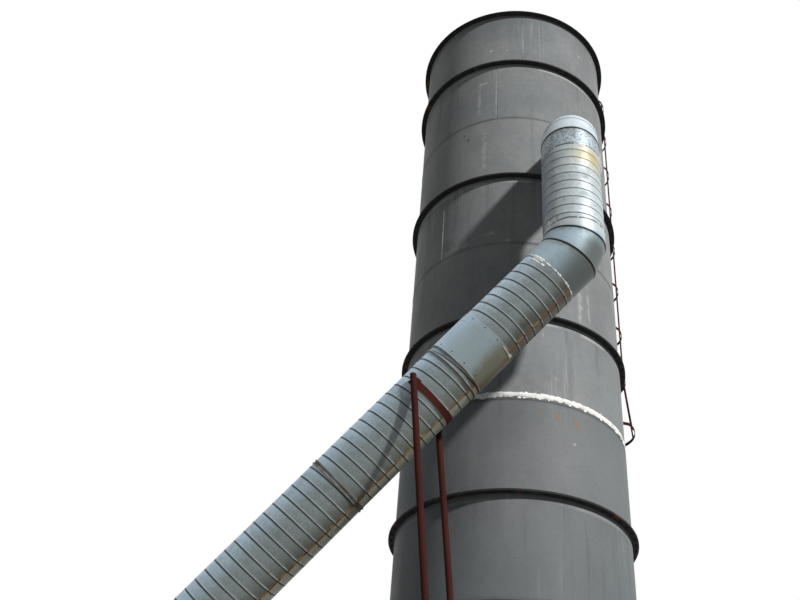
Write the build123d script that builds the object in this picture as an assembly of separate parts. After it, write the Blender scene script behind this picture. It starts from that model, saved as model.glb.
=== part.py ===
from build123d import *
from math import asin, atan2, cos, hypot, radians, sin, sqrt, tan
import os

os.makedirs("parts", exist_ok=True)

# Round bag filter tower with its galvanised spiral duct, in millimetres.
# The origin is the centre of the tower's base ring on the ground, +Z is up,
# and the long sloping duct runs down towards -X in a plane parallel to XZ.

# Tower shell
TOWER_RADIUS = 1450.0
PLATE = 6.0
CAN_HEIGHT = 2490.0
WHOLE_CANS = 6
TOP_CAN_HEIGHT = 1250.0
FLANGE_WIDTH = 78.0
FLANGE_PLATE = 12.0
FLANGE_GROOVE = 2.0
FLANGE_GROOVE_DEPTH = 4.0
BASE_RING_PLATE = 20.0
BASE_RING_LEDGE = 60.0
FLOOR_PLATE = 10.0
WELD_GAP = 0.3

# Roof
ROOF_PLATE = 6.0
ROOF_RISE = 240.0
ROOF_RIM_INSIDE = 30.0
ROOF_CAP_RADIUS = 160.0
ROOF_CAP_HEIGHT = 60.0

# White mastic bead round the shell
SEAL_HEIGHT = 8784.0
SEAL_BAND = 52.0
SEAL_PROUD = 14.0
SEAL_GAP = 0.8

# Spiral duct
DUCT_RADIUS = 368.5
DUCT_WALL = 1.5
DUCT_CLEARANCE = 306.5
RISER_INSET = 63.0
RISER_LENGTH = 1265.0
LAP_PROUD = 4.0
LAP_WIDTH = 9.0

# Lower elbow, from the riser into the sloping run
LOWER_TURN = 45.0
LOWER_BEND_RADIUS = 570.0
LOWER_GORES = 3
LOWER_COLLAR = 224.0

# Top elbow, from the riser back towards the shell
TOP_TURN = 53.0
TOP_BEND_RADIUS = 540.0
TOP_GORES = 4
TOP_COLLAR = 160.0
TOP_OUTLET = 60.0

# Inlet run, cut into the shell off centre, above one of the joint flanges
INLET_MARGIN = 20.0
INLET_FIT = 1.0
INLET_FLANGE = 5
INLET_CLEARANCE = 80.0

# Sloping run, measured along its axis from the lower elbow's corner
SLEEVE_START = 1500.0
SLEEVE_LENGTH = 520.0
SLEEVE_PROUD = 8.0
SLEEVE_WALL = 3.0
SLEEVE_INSET = 60.0
RIB_WIDTH = 26.0
RIB_PROUD = 15.0
RIB_SPACING = 84.0
COUPLING_AT = 3910.0
COUPLING_WIDTH = 56.0
COUPLING_WALL = 2.0
COUPLING_RIB = 14.0
COUPLING_PROUD = 10.0
COUPLING_WEB = 4.0
NIPPLE_LENGTH = 120.0
NIPPLE_WALL = 1.5
DUCT_END = 6400.0
END_FLANGE_WIDTH = 42.0
END_FLANGE_PLATE = 6.0
END_NECK_LENGTH = 40.0
END_NECK_WALL = 4.0
END_BOLTS = 16
END_BOLT_HOLE = 5.5
DUCT_FIT = 0.3

# Saddle strap and its two leaning posts
SADDLE_AT = 2520.0
SADDLE_WIDTH = 76.0
SADDLE_PLATE = 8.0
EAR_LENGTH = 120.0
EAR_WIDTH = 110.0
POST_RADIUS = 36.5
POST_WALL = 5.0
POST_LEAN = 6.3
POST_ABOVE_AXIS = 75.0
BASE_PLATE_SIZE = 250.0
BASE_PLATE = 16.0

# Caged ladder on the far side
LADDER_ANGLE = 64.0
LADDER_STANDOFF = 200.0
LADDER_WIDTH = 450.0
RAIL_DEPTH = 65.0
RAIL_PLATE = 10.0
RUNG_BAR = 20.0
RUNG_PITCH = 300.0
GRAB_RAIL_LENGTH = 1000.0
CAGE_BOTTOM = 10000.0
CAGE_CENTRE = 385.0
CAGE_RADIUS = 365.0
CAGE_FLARE = 80.0
CAGE_BAR = 50.0
CAGE_PLATE = 6.0
HOOP_SPACES = 8
STRAP_ANGLE = 37.5
STRAPS = 5
BRACKET_BOTTOM = 1245.0
BRACKET_BAR = 50.0
BRACKET_PLATE = 8.0

TOWER_HEIGHT = WHOLE_CANS * CAN_HEIGHT + TOP_CAN_HEIGHT
INNER_RADIUS = TOWER_RADIUS - PLATE
FLANGE_RADIUS = TOWER_RADIUS + FLANGE_WIDTH
UP = Vector(0, 0, 1)
SLOPE = Vector(-sin(radians(LOWER_TURN)), 0, -cos(radians(LOWER_TURN)))
BOTTOM = (Align.CENTER, Align.CENTER, Align.MIN)


def save(solid, name):
    """Write one piece to its own file."""
    solid.label = name
    export_step(solid, f"parts/{name}.step")


def rod(start, way, radius, length):
    """Solid cylinder from a point along a direction."""
    return Plane(origin=start, z_dir=way) * Cylinder(radius, length, align=BOTTOM)


def tube(start, way, outside, inside, length):
    """Hollow cylinder from a point along a direction."""
    return rod(start, way, outside, length) - rod(start, way, inside, length)


# Tower

def level_ring(inside, outside, low, high):
    """Flat ring about the tower's axis between two heights, closing on the side away from the inlet."""
    return Rot(0, 0, 180) * tube(UP * low, UP, outside, inside, high - low)


def joint_flange(level):
    """Two flat rings bolted face to face, with the joint line round the rim."""
    rings = level_ring(TOWER_RADIUS + WELD_GAP, FLANGE_RADIUS, level - FLANGE_PLATE, level + FLANGE_PLATE)
    groove_low = level - FLANGE_GROOVE / 2
    groove_high = level + FLANGE_GROOVE / 2
    bottom_of_groove = FLANGE_RADIUS - FLANGE_GROOVE_DEPTH
    return rings - level_ring(bottom_of_groove, FLANGE_RADIUS + FLANGE_WIDTH, groove_low, groove_high)


def roof_cover():
    """Shallow cone with a flat rim on the top ring and a raised cap at its centre."""
    rim_end = TOWER_RADIUS - ROOF_RIM_INSIDE
    cap_under = ROOF_RISE + ROOF_CAP_HEIGHT
    under = [
        (FLANGE_RADIUS, 0),
        (rim_end, 0),
        (ROOF_CAP_RADIUS, ROOF_RISE),
        (ROOF_CAP_RADIUS, cap_under),
        (0, cap_under),
    ]
    over = [
        (0, cap_under + ROOF_PLATE),
        (ROOF_CAP_RADIUS + ROOF_PLATE, cap_under + ROOF_PLATE),
        (ROOF_CAP_RADIUS + ROOF_PLATE, ROOF_RISE + ROOF_PLATE),
        (rim_end, ROOF_PLATE),
        (FLANGE_RADIUS, ROOF_PLATE),
    ]
    profile = Plane.XZ * make_face(Polyline(*under, *over, close=True))
    return Pos(0, 0, TOWER_HEIGHT) * revolve(profile, Axis.Z)


def mastic_bead():
    """Rounded bead of mastic lying against the shell."""
    seat = TOWER_RADIUS + SEAL_GAP
    low = (seat, SEAL_HEIGHT - SEAL_BAND / 2)
    high = (seat, SEAL_HEIGHT + SEAL_BAND / 2)
    crown = (seat + SEAL_PROUD, SEAL_HEIGHT)
    section = make_face(ThreePointArc(low, crown, high) + Line(high, low))
    return revolve(Plane.XZ * section, Axis.Z)


# Duct

def gored_path(corner, way_in, way_out, bend_radius, gores, collar_in, collar_out):
    """Axis of a gored elbow: its two ends, and a point at each mitre between them."""
    turn = radians(way_in.get_angle(way_out))
    half_gore = turn / (2 * (gores - 1))
    across = (way_out - way_in * cos(turn)).normalized()
    setback = bend_radius * tan(turn / 2)
    step = bend_radius * tan(half_gore)
    mitre = corner - way_in * (setback - step)
    points = [corner - way_in * (setback + collar_in), mitre]
    for gore in range(1, gores - 1):
        angle = 2 * half_gore * gore
        mitre = mitre + (way_in * cos(angle) + across * sin(angle)) * (2 * step)
        points.append(mitre)
    points.append(corner + way_out * (setback + collar_out))
    return points


def mitred_bar(points, radius):
    """Round bar along straight stretches that meet in mitres."""
    start = Plane(origin=points[0], z_dir=points[1] - points[0])
    return sweep(start * Circle(radius), path=Polyline(*points), transition=Transition.RIGHT)


def gored_elbow(points):
    """Thin elbow of straight gores, with a raised lap seam at each mitre."""
    lap_stock = mitred_bar(points, DUCT_RADIUS + LAP_PROUD)
    elbow = mitred_bar(points, DUCT_RADIUS)
    for before, mitre, after in zip(points, points[1:], points[2:]):
        facing = (mitre - before).normalized() + (after - mitre).normalized()
        slab = Plane(origin=mitre, z_dir=facing) * Box(4 * DUCT_RADIUS, 4 * DUCT_RADIUS, LAP_WIDTH)
        elbow = elbow + (lap_stock & slab)
    return elbow - mitred_bar(points, DUCT_RADIUS - DUCT_WALL)


def setback_of(bend_radius, turn):
    """Distance from an elbow's corner to where its bend begins."""
    return bend_radius * tan(radians(turn / 2))


# The riser stands clear of the joint flanges. In plan the inlet's axis passes the
# tower's centre at inlet_offset, so that its outer side enters almost along the shell.
duct_x = TOWER_RADIUS - RISER_INSET
duct_y = -(FLANGE_RADIUS + DUCT_CLEARANCE + DUCT_RADIUS)
duct_reach = hypot(duct_x, duct_y)
inlet_offset = TOWER_RADIUS - DUCT_RADIUS - INLET_MARGIN
inlet_heading = atan2(-duct_y, -duct_x) - asin(inlet_offset / duct_reach)
inlet_rise = radians(90 - TOP_TURN)
inlet_way = Vector(cos(inlet_heading) * cos(inlet_rise), sin(inlet_heading) * cos(inlet_rise), sin(inlet_rise))

# The inlet's underside clears the flange that it passes over, which sets the top
# corner's height, and the riser's length sets the lower corner's.
reach_to_middle = sqrt(duct_reach ** 2 - inlet_offset ** 2)
reach_to_flange = reach_to_middle - sqrt(FLANGE_RADIUS ** 2 - inlet_offset ** 2)
inlet_length = reach_to_middle / cos(inlet_rise)
height_over_flange = FLANGE_PLATE + INLET_CLEARANCE + DUCT_RADIUS / cos(inlet_rise)
top_corner_z = CAN_HEIGHT * INLET_FLANGE + height_over_flange - reach_to_flange * tan(inlet_rise)
riser_top = top_corner_z - setback_of(TOP_BEND_RADIUS, TOP_TURN) - TOP_COLLAR
riser_bottom = riser_top - RISER_LENGTH
top_corner = Vector(duct_x, duct_y, top_corner_z)
lower_corner = Vector(duct_x, duct_y, riser_bottom - setback_of(LOWER_BEND_RADIUS, LOWER_TURN))
slope_start = setback_of(LOWER_BEND_RADIUS, LOWER_TURN) + LOWER_COLLAR
inlet_start = setback_of(TOP_BEND_RADIUS, TOP_TURN) + TOP_OUTLET
sleeve_end = SLEEVE_START + SLEEVE_LENGTH


def on_slope(distance):
    """Point on the sloping run's axis."""
    return lower_corner + SLOPE * distance


def slope_ring(start, end, inside, outside):
    """Round duct, band or rib on the sloping run."""
    return tube(on_slope(start), SLOPE, outside, inside, end - start)


def slope_duct(start, end):
    """Plain length of duct on the sloping run."""
    return slope_ring(start, end, DUCT_RADIUS - DUCT_WALL, DUCT_RADIUS)


def inlet_bore():
    """Space that the inlet takes through the shell."""
    return rod(top_corner, inlet_way, DUCT_RADIUS + INLET_FIT, inlet_length)


def inlet_run():
    """Inlet duct up to the inner face of the shell."""
    start = top_corner + inlet_way * inlet_start
    run = tube(start, inlet_way, DUCT_RADIUS, DUCT_RADIUS - DUCT_WALL, inlet_length - inlet_start)
    return run - rod(Vector(), UP, INNER_RADIUS, TOWER_HEIGHT)


def slip_sleeve():
    """Plain sleeve over the butted duct ends, drawn in to the duct at both ends."""
    seat = DUCT_RADIUS + DUCT_FIT
    outside = seat + SLEEVE_PROUD
    body = slope_ring(SLEEVE_START, sleeve_end, outside - SLEEVE_WALL, outside)
    top_lip = slope_ring(SLEEVE_START, SLEEVE_START + SLEEVE_WALL, seat, outside)
    low_lip = slope_ring(sleeve_end - SLEEVE_WALL, sleeve_end, seat, outside)
    return body + top_lip + low_lip


def slope_rib(start):
    """Rolled rib round the duct, rounded on its outer side."""
    seat = DUCT_RADIUS + DUCT_FIT
    flank = seat + RIB_PROUD / 2
    foot = Polyline((flank, 0), (seat, 0), (seat, RIB_WIDTH), (flank, RIB_WIDTH))
    crown = ThreePointArc((flank, RIB_WIDTH), (seat + RIB_PROUD, RIB_WIDTH / 2), (flank, 0))
    rib = revolve(Plane.XZ * make_face(foot + crown), Axis.Z)
    return Plane(origin=on_slope(start), z_dir=SLOPE) * rib


def centred_ring(width, inside, outside):
    """Round band centred on the coupling's joint."""
    return slope_ring(COUPLING_AT - width / 2, COUPLING_AT + width / 2, inside, outside)


def coupling():
    """Nipple inside both duct ends, joined between them to an outer band with two ribs."""
    seat = DUCT_RADIUS + DUCT_FIT
    nipple_outside = DUCT_RADIUS - DUCT_WALL - DUCT_FIT
    bore = nipple_outside - NIPPLE_WALL
    nipple = centred_ring(NIPPLE_LENGTH, bore, nipple_outside)
    web = centred_ring(COUPLING_WEB, bore, seat + COUPLING_WALL)
    ribbed = centred_ring(COUPLING_WIDTH, seat, seat + COUPLING_PROUD)
    valley = centred_ring(COUPLING_WIDTH - 2 * COUPLING_RIB, seat + COUPLING_WALL, seat + 2 * COUPLING_PROUD)
    return nipple + web + (ribbed - valley)


def end_flange():
    """Angle ring with bolt holes at the duct's open end."""
    seat = DUCT_RADIUS + DUCT_FIT
    neck = slope_ring(DUCT_END - END_NECK_LENGTH, DUCT_END, seat, seat + END_NECK_WALL)
    plate = slope_ring(DUCT_END - END_FLANGE_PLATE, DUCT_END, seat, seat + END_FLANGE_WIDTH)
    bolt_circle = seat + (END_NECK_WALL + END_FLANGE_WIDTH) / 2
    face = Plane(origin=on_slope(DUCT_END - END_FLANGE_PLATE), x_dir=(0, 1, 0), z_dir=SLOPE)
    holes = PolarLocations(bolt_circle, END_BOLTS)
    drills = [face * place * Cylinder(END_BOLT_HOLE, END_FLANGE_PLATE, align=BOTTOM) for place in holes]
    return neck + plate - drills


# Saddle and posts

SADDLE_INSIDE = DUCT_RADIUS + DUCT_FIT
SADDLE_OUTSIDE = SADDLE_INSIDE + SADDLE_PLATE
POST_OFFSET = SADDLE_OUTSIDE + WELD_GAP + POST_RADIUS


def saddle_strap():
    """Strap bent under the duct, with a flat ear each side against a post."""
    middle = Plane(origin=on_slope(SADDLE_AT), x_dir=(0, 1, 0), z_dir=SLOPE)
    bend = Cylinder(SADDLE_OUTSIDE, SADDLE_WIDTH) - Cylinder(SADDLE_INSIDE, SADDLE_WIDTH)
    under = Pos(0, SADDLE_OUTSIDE, 0) * Box(4 * SADDLE_OUTSIDE, 2 * SADDLE_OUTSIDE, SADDLE_WIDTH)
    strap = bend & under
    for side in (-1, 1):
        ear = Box(SADDLE_PLATE, EAR_LENGTH, EAR_WIDTH)
        strap = strap + Pos(side * (SADDLE_INSIDE + SADDLE_PLATE / 2), 0, 0) * ear
    return middle * (strap - Cylinder(SADDLE_INSIDE, EAR_WIDTH))


def post_foot(side):
    """Point on the ground under a post's axis."""
    axle = on_slope(SADDLE_AT)
    return Vector(axle.X + axle.Z * tan(radians(POST_LEAN)), axle.Y + side * POST_OFFSET, 0)


def leaning_post(side):
    """Round post from its base plate up to the saddle's ear."""
    way = Vector(-sin(radians(POST_LEAN)), 0, cos(radians(POST_LEAN)))
    top = on_slope(SADDLE_AT).Z + POST_ABOVE_AXIS
    reach = top / cos(radians(POST_LEAN)) + BASE_PLATE_SIZE
    start = post_foot(side) - way * BASE_PLATE_SIZE
    pipe = tube(start, way, POST_RADIUS, POST_RADIUS - POST_WALL, reach + BASE_PLATE_SIZE)
    middle = post_foot(side) + way * (reach / 2)
    room = Box(2 * reach, 4 * POST_RADIUS, top - BASE_PLATE, align=BOTTOM)
    return pipe & (Pos(middle.X, middle.Y, BASE_PLATE) * room)


def base_plate(side):
    """Square plate on the ground under a post."""
    foot = post_foot(side)
    return Pos(foot.X, foot.Y, 0) * Box(BASE_PLATE_SIZE, BASE_PLATE_SIZE, BASE_PLATE, align=BOTTOM)


# Ladder

LADDER_RADIUS = TOWER_RADIUS + LADDER_STANDOFF
LADDER_TOP = TOWER_HEIGHT + GRAB_RAIL_LENGTH
LADDER_PLACE = Rot(0, 0, LADDER_ANGLE)
CAGE_SPACING = (LADDER_TOP - CAGE_BOTTOM - CAGE_BAR) / HOOP_SPACES


def side_rail(side, low, high):
    """Flat bar on one side of the ladder."""
    return Pos(LADDER_RADIUS, side * LADDER_WIDTH / 2, low) * Box(RAIL_DEPTH, RAIL_PLATE, high - low, align=BOTTOM)


def ladder():
    """Two flat side rails, with square rungs between them that stand on edge."""
    frame = side_rail(-1, 0, TOWER_HEIGHT) + side_rail(1, 0, TOWER_HEIGHT)
    rung = Rot(0, 45, 0) * Box(RUNG_BAR, LADDER_WIDTH, RUNG_BAR)
    steps = range(1, int(TOWER_HEIGHT / RUNG_PITCH) + 1)
    return LADDER_PLACE * (frame + [Pos(LADDER_RADIUS, 0, step * RUNG_PITCH) * rung for step in steps])


def hoop_outline(radius, outwards):
    """Area inside a hoop, or inside and under its bar."""
    back = LADDER_RADIUS - RAIL_DEPTH / 2
    front = LADDER_RADIUS + RAIL_DEPTH / 2
    side = (LADDER_WIDTH + RAIL_PLATE) / 2 + WELD_GAP + outwards
    reach = radius + outwards
    centre = LADDER_RADIUS + CAGE_CENTRE
    legs = Polyline((centre, -reach), (front, -side), (back, -side), (back, side), (front, side), (centre, reach))
    bow = ThreePointArc((centre, reach), (centre + reach, 0), (centre, -reach))
    return make_face(legs + bow)


def cage_hoop(low, radius):
    """Flat bar bent round the climber and fixed to the outside of both rails."""
    outside = extrude(hoop_outline(radius, CAGE_PLATE), CAGE_BAR)
    inside = extrude(hoop_outline(radius, 0), CAGE_BAR)
    back = Pos(LADDER_RADIUS - RAIL_DEPTH, 0, 0) * Box(RAIL_DEPTH, LADDER_WIDTH, CAGE_BAR, align=BOTTOM)
    return LADDER_PLACE * Pos(0, 0, low) * (outside - inside - back)


def cage_strap(angle):
    """Flat bar inside the hoops, upright down to the lowest, where it flares out."""
    seat = sqrt((CAGE_RADIUS - WELD_GAP) ** 2 - (CAGE_BAR / 2) ** 2)
    knee = CAGE_BOTTOM + CAGE_SPACING
    outer_side = [(seat, LADDER_TOP), (seat, knee), (seat + CAGE_FLARE, CAGE_BOTTOM)]
    inner_side = [(reach - CAGE_PLATE, height) for reach, height in reversed(outer_side)]
    profile = Plane.XZ * make_face(Polyline(*outer_side, *inner_side, close=True))
    bar = extrude(profile, CAGE_BAR / 2, both=True)
    return LADDER_PLACE * Pos(LADDER_RADIUS + CAGE_CENTRE, 0, 0) * Rot(0, 0, angle) * bar


def ladder_bracket(level, side):
    """Flat bar from the shell to the inside of a rail."""
    offset = side * (LADDER_WIDTH / 2 - RAIL_PLATE / 2 - WELD_GAP - BRACKET_PLATE / 2)
    end = LADDER_RADIUS - RUNG_BAR
    bar = Pos(end / 2, offset, level) * Box(end, BRACKET_PLATE, BRACKET_BAR)
    shell = Cylinder(TOWER_RADIUS + WELD_GAP, 2 * TOWER_HEIGHT)
    return LADDER_PLACE * (bar - shell)


# Pieces

can_levels = [BASE_RING_PLATE] + [CAN_HEIGHT * count for count in range(1, WHOLE_CANS + 1)] + [TOWER_HEIGHT]
for number, (low, high) in enumerate(zip(can_levels, can_levels[1:]), start=1):
    save(level_ring(INNER_RADIUS, TOWER_RADIUS, low, high) - inlet_bore(), f"can_{number}")
for number in range(1, WHOLE_CANS + 1):
    save(joint_flange(CAN_HEIGHT * number) - inlet_bore(), f"flange_{number}")

save(level_ring(INNER_RADIUS - BASE_RING_LEDGE, FLANGE_RADIUS, 0, BASE_RING_PLATE), "base_ring")
save(rod(UP * BASE_RING_PLATE, UP, INNER_RADIUS - WELD_GAP, FLOOR_PLATE), "floor_plate")
save(level_ring(TOWER_RADIUS + WELD_GAP, FLANGE_RADIUS, TOWER_HEIGHT - FLANGE_PLATE, TOWER_HEIGHT), "top_ring")
save(roof_cover(), "roof")
save(mastic_bead(), "seal_bead")

save(inlet_run(), "inlet_run")
save(gored_elbow(gored_path(
    top_corner, UP, inlet_way, TOP_BEND_RADIUS, TOP_GORES, TOP_COLLAR, TOP_OUTLET)), "top_elbow")
riser_foot = Vector(duct_x, duct_y, riser_bottom)
save(tube(riser_foot, UP, DUCT_RADIUS, DUCT_RADIUS - DUCT_WALL, RISER_LENGTH), "vertical_duct")
save(gored_elbow(gored_path(
    lower_corner, -UP, SLOPE, LOWER_BEND_RADIUS, LOWER_GORES, 0, LOWER_COLLAR)), "lower_elbow")
save(slope_duct(slope_start, SLEEVE_START + SLEEVE_INSET), "upper_slope_duct")
save(slip_sleeve(), "sleeve")
save(slope_rib(sleeve_end + WELD_GAP), "sleeve_rib")
save(slope_rib(sleeve_end + RIB_SPACING), "clamp_rib")
save(slope_duct(sleeve_end - SLEEVE_INSET, COUPLING_AT - COUPLING_WEB / 2), "middle_slope_duct")
save(coupling(), "coupling")
save(slope_duct(COUPLING_AT + COUPLING_WEB / 2, DUCT_END), "lower_slope_duct")
save(end_flange(), "end_flange")

save(saddle_strap(), "saddle_strap")
for side, name in ((-1, "near"), (1, "far")):
    save(leaning_post(side), f"{name}_post")
    save(base_plate(side), f"{name}_base_plate")

save(ladder(), "ladder")
grab_rails = [LADDER_PLACE * side_rail(side, TOWER_HEIGHT, LADDER_TOP) for side in (-1, 1)]
save(Compound(children=grab_rails), "grab_rails")
hoops = [cage_hoop(CAGE_BOTTOM, CAGE_RADIUS + CAGE_FLARE)]
for space in range(1, HOOP_SPACES + 1):
    hoops.append(cage_hoop(CAGE_BOTTOM + CAGE_SPACING * space, CAGE_RADIUS))
save(Compound(children=hoops), "cage_hoops")
straps = [cage_strap(STRAP_ANGLE * (strap - (STRAPS - 1) / 2)) for strap in range(STRAPS)]
save(Compound(children=straps), "cage_straps")
brackets = []
for can in range(WHOLE_CANS):
    brackets += [ladder_bracket(BRACKET_BOTTOM + CAN_HEIGHT * can, side) for side in (-1, 1)]
save(Compound(children=brackets), "ladder_brackets")
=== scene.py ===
"""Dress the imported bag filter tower: seams, welds, bolts, mastic and weathered finishes."""

import logging
import math
from dataclasses import dataclass, field, fields
from enum import Enum
from typing import ClassVar

import bpy
from mathutils import Matrix, Vector

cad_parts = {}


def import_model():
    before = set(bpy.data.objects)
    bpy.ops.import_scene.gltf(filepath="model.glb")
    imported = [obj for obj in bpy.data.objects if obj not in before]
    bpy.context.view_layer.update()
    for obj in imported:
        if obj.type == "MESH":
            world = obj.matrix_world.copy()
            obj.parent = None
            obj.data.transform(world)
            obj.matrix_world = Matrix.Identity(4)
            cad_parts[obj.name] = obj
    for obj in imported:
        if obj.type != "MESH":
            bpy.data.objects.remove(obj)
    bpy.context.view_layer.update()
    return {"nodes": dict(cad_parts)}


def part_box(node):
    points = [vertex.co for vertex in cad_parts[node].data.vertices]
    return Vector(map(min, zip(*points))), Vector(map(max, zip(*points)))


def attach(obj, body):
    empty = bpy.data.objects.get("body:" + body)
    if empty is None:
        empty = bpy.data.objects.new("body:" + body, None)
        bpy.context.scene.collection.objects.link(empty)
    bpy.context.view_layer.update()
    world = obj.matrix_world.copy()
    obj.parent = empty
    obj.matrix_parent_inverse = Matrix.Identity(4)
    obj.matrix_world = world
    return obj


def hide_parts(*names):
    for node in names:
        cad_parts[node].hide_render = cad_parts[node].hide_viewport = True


LOG = logging.getLogger("bag_filter")
BODY = "root"

Mesh = bpy.types.Mesh
Node = bpy.types.Node
Socket = bpy.types.NodeSocket
Triple = tuple[float, float, float]

# Sizes in metres, as the frame has them
TOWER_RADIUS = 1.450
CAN_HEIGHT = 2.490
TOWER_HEIGHT = 16.190
DUCT_RADIUS = 0.3685
SLOPE_COS = math.sqrt(0.5)

# How far a noise's offset moves it along each axis
NOISE_WAY = (1.0, 1.7, 0.6)

PALE_SEALANT = (0.72, 0.74, 0.72)
DARK_SEALANT = (0.015, 0.014, 0.012)


# Node trees

class NodeTree:
    """A node tree that is built one node at a time."""

    def __init__(self, tree: bpy.types.NodeTree) -> None:
        """Keep the tree that the nodes go into."""
        self.tree = tree

    def add(self, kind: str, inputs: dict | None = None, **settings: object) -> Node:
        """Add a node.

        Args:
            kind: the node's type.
            inputs: values or links for its sockets, by name or number.
            settings: its own settings, set first.

        Returns:
            The new node.
        """
        node = self.tree.nodes.new(kind)
        for name, value in settings.items():
            setattr(node, name, value)
        for name, value in (inputs or {}).items():
            self.feed(node.inputs[name], value)
        return node

    def feed(self, socket: Socket, value: object) -> None:
        """Link a socket, or set its value.

        Args:
            socket: the input.
            value: a Value, a socket, a node for its first output, or plain data.
        """
        source = value.socket if isinstance(value, Value) else value
        if isinstance(source, Node):
            source = source.outputs[0]
        if isinstance(source, Socket):
            self.tree.links.new(source, socket)
        else:
            socket.default_value = source


class Value:
    """A number socket that takes part in arithmetic."""

    def __init__(self, nodes: NodeTree, socket: Socket) -> None:
        """Wrap an output of one tree."""
        self.nodes, self.socket = nodes, socket

    def math(self, operation: str, *operands: object) -> "Value":
        """Add one Math node, with its inputs in order."""
        node = self.nodes.add("ShaderNodeMath", dict(enumerate(operands)), operation=operation)
        return Value(self.nodes, node.outputs[0])

    def __add__(self, other: object) -> "Value":
        """Sum."""
        return self.math("ADD", self, other)

    def __sub__(self, other: object) -> "Value":
        """Difference."""
        return self.math("SUBTRACT", self, other)

    def __rsub__(self, other: object) -> "Value":
        """Difference with a plain number first."""
        return self.math("SUBTRACT", other, self)

    def __mul__(self, other: object) -> "Value":
        """Product."""
        return self.math("MULTIPLY", self, other)

    def __truediv__(self, other: object) -> "Value":
        """Quotient."""
        return self.math("DIVIDE", self, other)

    __radd__ = __add__
    __rmul__ = __mul__

    def floor(self) -> "Value":
        """Whole part."""
        return self.math("FLOOR", self)

    def fraction(self) -> "Value":
        """Part after the point."""
        return self.math("FRACT", self)

    def size(self) -> "Value":
        """Absolute value."""
        return self.math("ABSOLUTE", self)

    def root(self) -> "Value":
        """Square root."""
        return self.math("SQRT", self)

    def sine(self) -> "Value":
        """Sine of an angle in radians."""
        return self.math("SINE", self)

    def at_least(self, other: object) -> "Value":
        """Larger of two."""
        return self.math("MAXIMUM", self, other)

    def bearing(self, adjacent: "Value") -> "Value":
        """Angle in radians, from -pi to pi, whose tangent is this over another."""
        return self.math("ARCTAN2", self, adjacent)

    def rise(self, low: object, high: object) -> "Value":
        """Smooth step.

        Args:
            low: where it is still 0.
            high: where it reaches 1.

        Returns:
            A value from 0 to 1.
        """
        inputs = {"Value": self, "From Min": low, "From Max": high}
        node = self.nodes.add("ShaderNodeMapRange", inputs, interpolation_type="SMOOTHSTEP")
        return Value(self.nodes, node.outputs["Result"])

    def near(self, centre: object, reach: object) -> "Value":
        """Soft band round a value, 1 at its centre and 0 at its reach."""
        return 1.0 - (self - centre).size().rise(0.0, reach)


@dataclass(frozen=True)
class Patches:
    """Patches of one colour, where a noise rises from a low to a high level.

    The noise is given by its features per metre, octaves, offset and stretch.
    """

    colour: Triple
    strength: float
    scale: float
    detail: float
    shift: float
    low: float
    high: float
    stretch: Triple = (1, 1, 1)


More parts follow.
